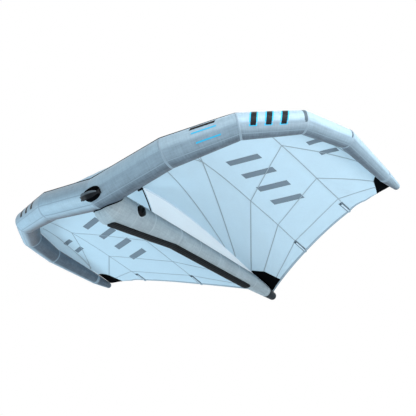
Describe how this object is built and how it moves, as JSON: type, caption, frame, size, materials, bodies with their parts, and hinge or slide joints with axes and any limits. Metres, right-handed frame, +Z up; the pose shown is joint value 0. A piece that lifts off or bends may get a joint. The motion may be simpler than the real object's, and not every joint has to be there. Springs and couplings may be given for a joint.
{
  "type": "wingfoil wing",
  "caption": "Inflatable hand-held wing for foil boards, with a swept leading edge tube, a centre strut with a ribbed grip rail, and a canopy",
  "frame": {"origin": "middle of the underside of the bounding box, below the centre strut", "axes": "+X along the span to the side of the inflation valve, +Y aft from the leading edge to the trailing edge, +Z up from the strut's belly to the canopy's upper side, with the wing held level as in flight"},
  "size_m": [3.5888, 2.6842, 0.6953],
  "materials": {
    "woven_sleeve_cloth": "blue-grey satin woven polyester sleeve cloth",
    "bladder_film": "milky clear bladder film",
    "tail_moulding": "dark grey moulded tail fairing",
    "patch_cloth": "black matt reinforcing cloth and webbing",
    "canopy_ripstop": "light blue ripstop",
    "hem_tape": "grey folded hem tape",
    "batten_glass_fibre": "pale pultruded glass fibre",
    "web_ripstop": "near-white ripstop",
    "grip_foam": "black ribbed closed-cell foam rubber",
    "valve_plastic": "black moulded nylon"
  },
  "bodies": {
    "wing": {"batten_pocket_inner_left": "hem_tape", "batten_pocket_inner_right": "hem_tape", "batten_pocket_outer_left": "hem_tape", "batten_pocket_outer_right": "hem_tape", "canopy_left": "canopy_ripstop", "canopy_right": "canopy_ripstop", "front_handle_anchor_left": "patch_cloth", "front_handle_anchor_right": "patch_cloth", "front_handle_patch": "patch_cloth", "grip_rail": "grip_foam", "leading_edge_bladder": "bladder_film", "leading_edge_panel_1_left": "woven_sleeve_cloth", "leading_edge_panel_1_right": "woven_sleeve_cloth", "leading_edge_panel_2_left": "woven_sleeve_cloth", "leading_edge_panel_2_right": "woven_sleeve_cloth", "leading_edge_panel_3_left": "woven_sleeve_cloth", "leading_edge_panel_3_right": "woven_sleeve_cloth", "leading_edge_panel_4_left": "woven_sleeve_cloth", "leading_edge_panel_4_right": "woven_sleeve_cloth", "leading_edge_panel_5_left": "woven_sleeve_cloth", "leading_edge_panel_5_right": "woven_sleeve_cloth", "leading_edge_panel_6_left": "woven_sleeve_cloth", "leading_edge_panel_6_right": "woven_sleeve_cloth", "leading_edge_tip_cap_left": "woven_sleeve_cloth", "leading_edge_tip_cap_right": "woven_sleeve_cloth", "one_pump_air_tube": "bladder_film", "strut_bladder": "bladder_film", "strut_seam_piping": "patch_cloth", "strut_sleeve_front": "woven_sleeve_cloth", "strut_sleeve_rear": "woven_sleeve_cloth", "strut_tail_cap": "tail_moulding", "tail_patch_left": "patch_cloth", "tail_patch_right": "patch_cloth", "tip_patch_left": "patch_cloth", "tip_patch_right": "patch_cloth", "trailing_edge_hem_left": "hem_tape", "trailing_edge_hem_right": "hem_tape", "valve_base": "valve_plastic", "web_front_binding": "patch_cloth", "web_panel": "web_ripstop"},
    "valve_cap": {"valve_cap": "valve_plastic"},
    "valve_flap": {"valve_flap": "bladder_film"},
    "front_handle": {"front_handle_grip": "grip_foam"},
    "batten_inner_right": {"batten_inner_right": "batten_glass_fibre"},
    "batten_inner_left": {"batten_inner_left": "batten_glass_fibre"},
    "batten_outer_right": {"batten_outer_right": "batten_glass_fibre"},
    "batten_outer_left": {"batten_outer_left": "batten_glass_fibre"}
  },
  "joints": [
    {"name": "valve_cap_twist", "type": "hinge", "parent": "wing", "child": "valve_cap", "pos_m": [0.132, -0.8222, 0.18787], "axis": [1, 0, 0], "range_deg": [0, 90]},
    {"name": "valve_flap_swing", "type": "hinge", "parent": "wing", "child": "valve_flap", "pos_m": [0.09995, -0.8222, 0.21537], "axis": [0, 1, 0], "range_deg": [0, 35], "stiffness_Nm_per_rad": 0.01},
    {"name": "front_handle_flop", "type": "hinge", "parent": "wing", "child": "front_handle", "pos_m": [0.012, -1.28918, 0.12805], "axis": [1, 0, 0], "range_deg": [-20, 20], "stiffness_Nm_per_rad": 0.8},
    {"name": "batten_inner_right_pull", "type": "slide", "parent": "wing", "child": "batten_inner_right", "axis": [0.0309, 0.9943, -0.1022], "range_m": [0, 0.12]},
    {"name": "batten_inner_left_pull", "type": "slide", "parent": "wing", "child": "batten_inner_left", "axis": [-0.0309, 0.9943, -0.1022], "range_m": [0, 0.12]},
    {"name": "batten_outer_right_pull", "type": "slide", "parent": "wing", "child": "batten_outer_right", "axis": [0.0751, 0.9959, -0.0506], "range_m": [0, 0.1]},
    {"name": "batten_outer_left_pull", "type": "slide", "parent": "wing", "child": "batten_outer_left", "axis": [-0.0751, 0.9959, -0.0506], "range_m": [0, 0.1]}
  ]
}
